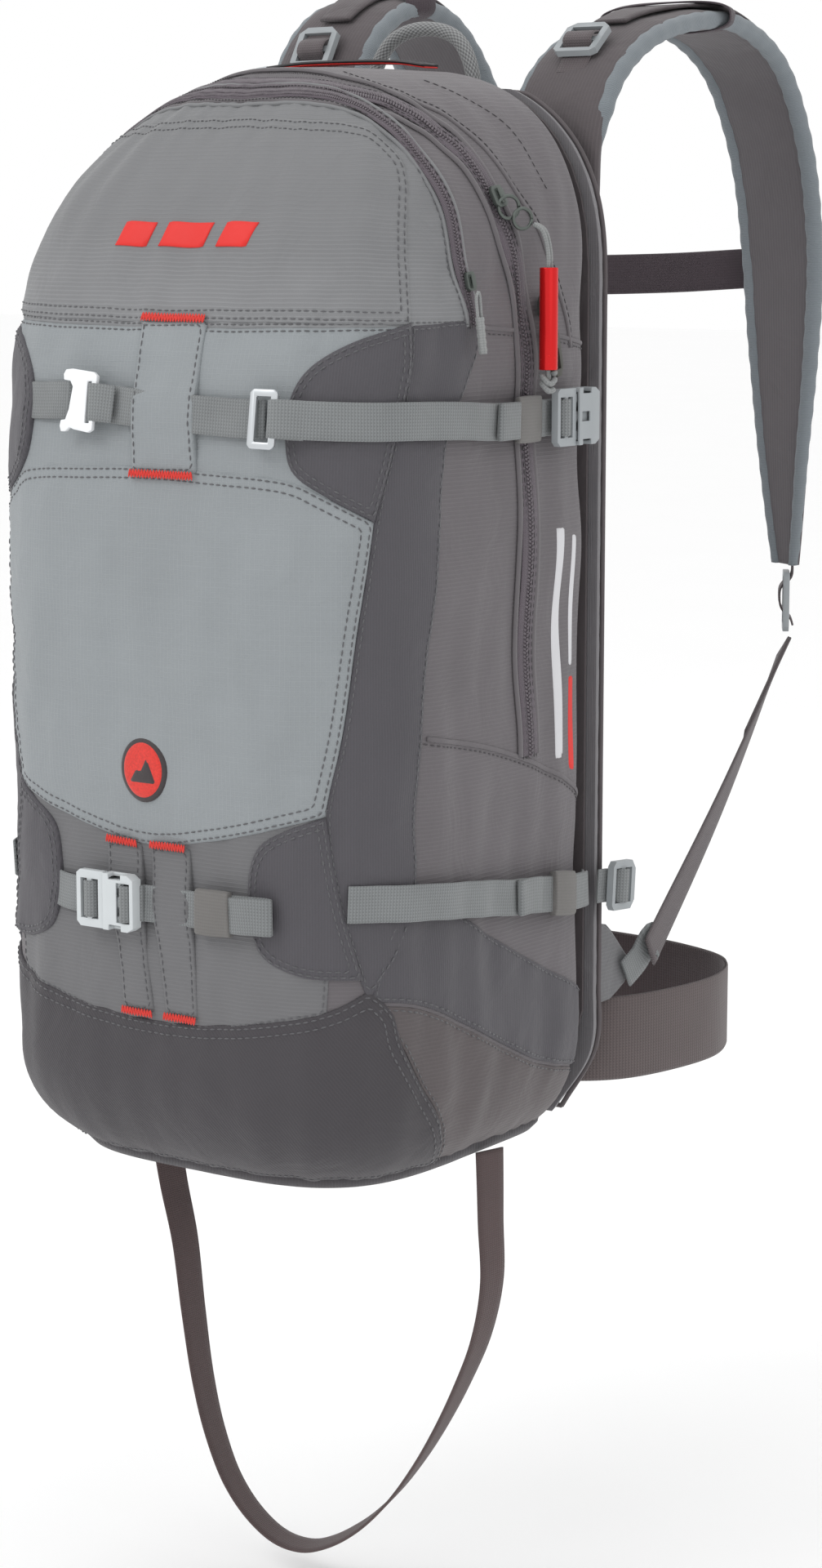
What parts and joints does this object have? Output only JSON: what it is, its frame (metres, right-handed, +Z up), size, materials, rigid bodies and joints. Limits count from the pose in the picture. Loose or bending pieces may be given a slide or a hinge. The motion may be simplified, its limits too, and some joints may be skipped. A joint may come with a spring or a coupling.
{
  "type": "avalanche airbag backpack",
  "caption": "Ski backpack that holds a folded airbag, gas cartridge and trigger, with padded harness, hip belt, buckled straps, side zips and a hanging leg strap.",
  "frame": {"origin": "top of the opening under the grab handle, where the pack hangs from a hook", "axes": "+Z up along the back, +X to the wearer's right, -Y out of the front of the bag"},
  "size_m": [0.3078, 0.556, 0.9121],
  "materials": {
    "fabric_grey": "ripstop, matt",
    "fabric_light": "fine ripstop, soft sheen",
    "fabric_base": "diagonal twill, matt",
    "webbing_light": "coarse ribbed webbing",
    "webbing_dark": "ribbed webbing, matt",
    "webbing_brown": "ribbed webbing, matt",
    "zip_tape": "woven tape and coil",
    "plastic_light": "moulded, satin",
    "plastic_dark": "moulded, satin",
    "metal_white": "bead blasted",
    "metal_grey": "anodised",
    "red_metal": "bright anodised",
    "foam": "moulded foam",
    "harness_fabric": "fine twill, padded",
    "airbag_fabric": "coated nylon, folded"
  },
  "bodies": {
    "root": {"main_bag": "fabric_grey", "front_panel": "fabric_light", "top_pocket": "fabric_grey", "base_panel": "fabric_base", "main_zip": "zip_tape", "pocket_zip": "zip_tape", "hook_loop": "webbing_light", "hook_webbing": "webbing_light", "upper_webbing": "webbing_light", "strap_ring": "metal_white", "side_buckle_housing": "plastic_light", "front_webbing": "webbing_light", "front_buckle_housing": "plastic_light", "lower_webbing_right": "webbing_light", "lower_webbing_left": "webbing_light", "frame_sheet": "plastic_dark", "back_panel": "foam", "frame_stay": "metal_grey", "back_padding": "foam", "strap_yoke": "harness_fabric", "gas_cartridge": "metal_grey", "inflation_unit": "plastic_dark", "airbag_hose": "plastic_dark", "folded_airbag": "airbag_fabric", "cable_housing": "plastic_dark", "shoulder_strap_right": "harness_fabric", "shoulder_strap_left": "harness_fabric", "strap_webbing_right": "webbing_dark", "strap_webbing_left": "webbing_dark", "anchor_wing_right": "fabric_grey", "anchor_wing_left": "fabric_grey", "chest_strap_right": "webbing_dark", "chest_strap_left": "webbing_dark", "chest_buckle_housing": "plastic_dark", "hip_belt_right": "webbing_dark", "hip_belt_left": "webbing_dark", "hip_buckle_housing": "plastic_dark", "grab_handle": "webbing_dark", "top_strap": "plastic_dark", "leg_strap": "webbing_brown", "leg_strap_lock": "plastic_dark"},
    "zip_slider_low": {"main_slider_low": "metal_grey"},
    "zip_pull_low": {"main_pull_low": "metal_grey"},
    "zip_slider_high": {"main_slider_high": "metal_grey"},
    "tube_pull": {"tube_pull": "red_metal"},
    "pocket_zip_slider": {"pocket_slider": "metal_grey"},
    "pocket_zip_pull": {"pocket_pull": "plastic_dark"},
    "hook": {"strap_hook": "metal_white"},
    "side_plug": {"side_buckle_plug": "plastic_light"},
    "front_plug": {"front_buckle_plug": "plastic_light"},
    "chest_plug": {"chest_buckle_plug": "plastic_dark"},
    "hip_plug": {"hip_buckle_plug": "plastic_dark"},
    "side_lock_right": {"lower_lock_right": "plastic_light"},
    "side_lock_left": {"lower_lock_left": "plastic_light"},
    "lifter_right": {"lifter_lock_right": "plastic_light"},
    "lifter_left": {"lifter_lock_left": "plastic_light"},
    "adjuster_right": {"strap_adjuster_right": "plastic_light"},
    "adjuster_left": {"strap_adjuster_left": "plastic_light"},
    "trigger": {"trigger_handle": "red_metal"},
    "pin": {"release_pin": "metal_grey"}
  },
  "joints": [
    {"name": "zip_slider_low_run", "type": "slide", "parent": "root", "child": "zip_slider_low", "axis": [-0.021, 0.0001, 0.9998], "range_m": [0, 0.02]},
    {"name": "zip_pull_low_swing", "type": "hinge", "parent": "zip_slider_low", "child": "zip_pull_low", "pos_m": [0.14312, -0.09082, -0.15391], "axis": [0.0013, -0.9701, -0.2425], "range_deg": [0, 80]},
    {"name": "zip_slider_high_run", "type": "slide", "parent": "root", "child": "zip_slider_high", "axis": [-0.3997, -0.0838, 0.9128], "range_m": [0, 0.02]},
    {"name": "tube_pull_swing", "type": "hinge", "parent": "zip_slider_high", "child": "tube_pull", "pos_m": [0.145, -0.106, -0.106], "axis": [0, -1, 0], "range_deg": [0, 70]},
    {"name": "pocket_slider_run", "type": "slide", "parent": "root", "child": "pocket_zip_slider", "axis": [-0.1623, -0.0846, 0.9831], "range_m": [0, 0.02]},
    {"name": "pocket_pull_swing", "type": "hinge", "parent": "pocket_zip_slider", "child": "pocket_zip_pull", "pos_m": [0.14183, -0.1589, -0.13907], "axis": [-0.0884, -0.9961, 0], "range_deg": [0, 80]},
    {"name": "hook_swing", "type": "hinge", "parent": "root", "child": "hook", "pos_m": [-0.03024, -0.25852, -0.19889], "axis": [0, 0.152, 0.9884], "range_deg": [0, 40]},
    {"name": "side_buckle_release", "type": "slide", "parent": "root", "child": "side_plug", "axis": [0.0114, -0.9999, 0], "range_m": [0, 0.014]},
    {"name": "front_buckle_release", "type": "slide", "parent": "root", "child": "front_plug", "axis": [-1, 0.009, 0], "range_m": [0, 0.014]},
    {"name": "chest_buckle_release", "type": "slide", "parent": "root", "child": "chest_plug", "axis": [-0.9848, -0.1739, 0], "range_m": [0, 0.014]},
    {"name": "hip_buckle_release", "type": "slide", "parent": "root", "child": "hip_plug", "axis": [-1, 0, 0], "range_m": [0, 0.018]},
    {"name": "side_lock_right_tilt", "type": "hinge", "parent": "root", "child": "side_lock_right", "pos_m": [0.1442, -0.026, -0.4765], "axis": [0, -0.0797, -0.9968], "range_deg": [0, 30]},
    {"name": "side_lock_left_tilt", "type": "hinge", "parent": "root", "child": "side_lock_left", "pos_m": [-0.1442, -0.026, -0.4765], "axis": [0, 0.0797, 0.9968], "range_deg": [0, 30]},
    {"name": "lifter_right_tilt", "type": "hinge", "parent": "root", "child": "lifter_right", "pos_m": [0.08797, 0.01154, -0.02067], "axis": [1, -0.0006, 0.0053], "range_deg": [0, 30]},
    {"name": "lifter_left_tilt", "type": "hinge", "parent": "root", "child": "lifter_left", "pos_m": [-0.08822, 0.0017, -0.02667], "axis": [0.9997, -0.0208, 0.0095], "range_deg": [0, 30]},
    {"name": "adjuster_right_tilt", "type": "hinge", "parent": "root", "child": "adjuster_right", "pos_m": [0.09573, 0.27101, -0.325], "axis": [-0.5026, 0.8645, 0], "range_deg": [0, 25]},
    {"name": "adjuster_left_tilt", "type": "hinge", "parent": "root", "child": "adjuster_left", "pos_m": [-0.09573, 0.22101, -0.315], "axis": [-0.5026, -0.8645, 0], "range_deg": [0, 25]},
    {"name": "trigger_pull", "type": "slide", "parent": "root", "child": "trigger", "axis": [0.0022, 0.1123, -0.9937], "range_m": [0, 0.03]},
    {"name": "pin_draw", "type": "slide", "parent": "root", "child": "pin", "axis": [0, 1, 0], "range_m": [0, 0.006]}
  ],
  "couplings": [
    {"joint": "pin_draw", "follows": "trigger_pull", "ratio": 0.2}
  ]
}
